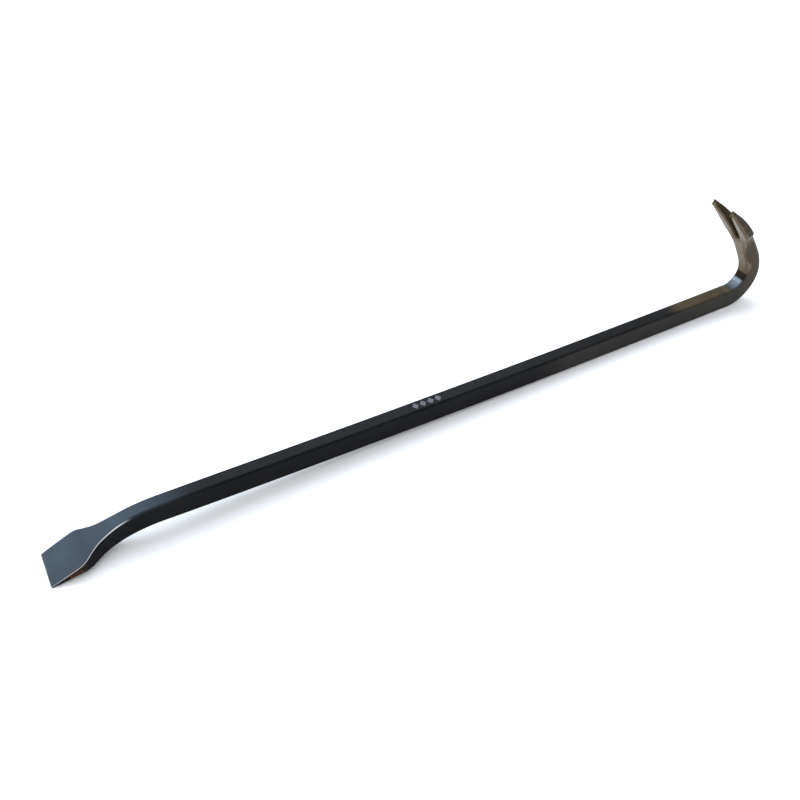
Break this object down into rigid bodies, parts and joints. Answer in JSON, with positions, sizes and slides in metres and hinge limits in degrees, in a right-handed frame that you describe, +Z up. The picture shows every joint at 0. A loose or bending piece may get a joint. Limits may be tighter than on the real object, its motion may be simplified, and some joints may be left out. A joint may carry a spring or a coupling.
{
  "type": "pry bar",
  "caption": "Forged steel pry bar: flat flared chisel blade at one end, straight rectangular shank, curved nail-pulling claw at the other",
  "frame": {"origin": "on the ground below the middle of the bar's box, with the bar standing on the blade's cutting edge and on the heel of the claw bend", "axes": "+X along the bar from the chisel blade to the claw, +Y across the shank and along the cutting edge, +Z up the way the claw points"},
  "size_m": [1.0014, 0.0526, 0.1751],
  "materials": {
    "black_lacquered_steel": "satin black lacquer over forged steel, worn to bright steel along the working edges"
  },
  "bodies": {
    "root": {"forged_bar": "black_lacquered_steel"}
  },
  "joints": []
}
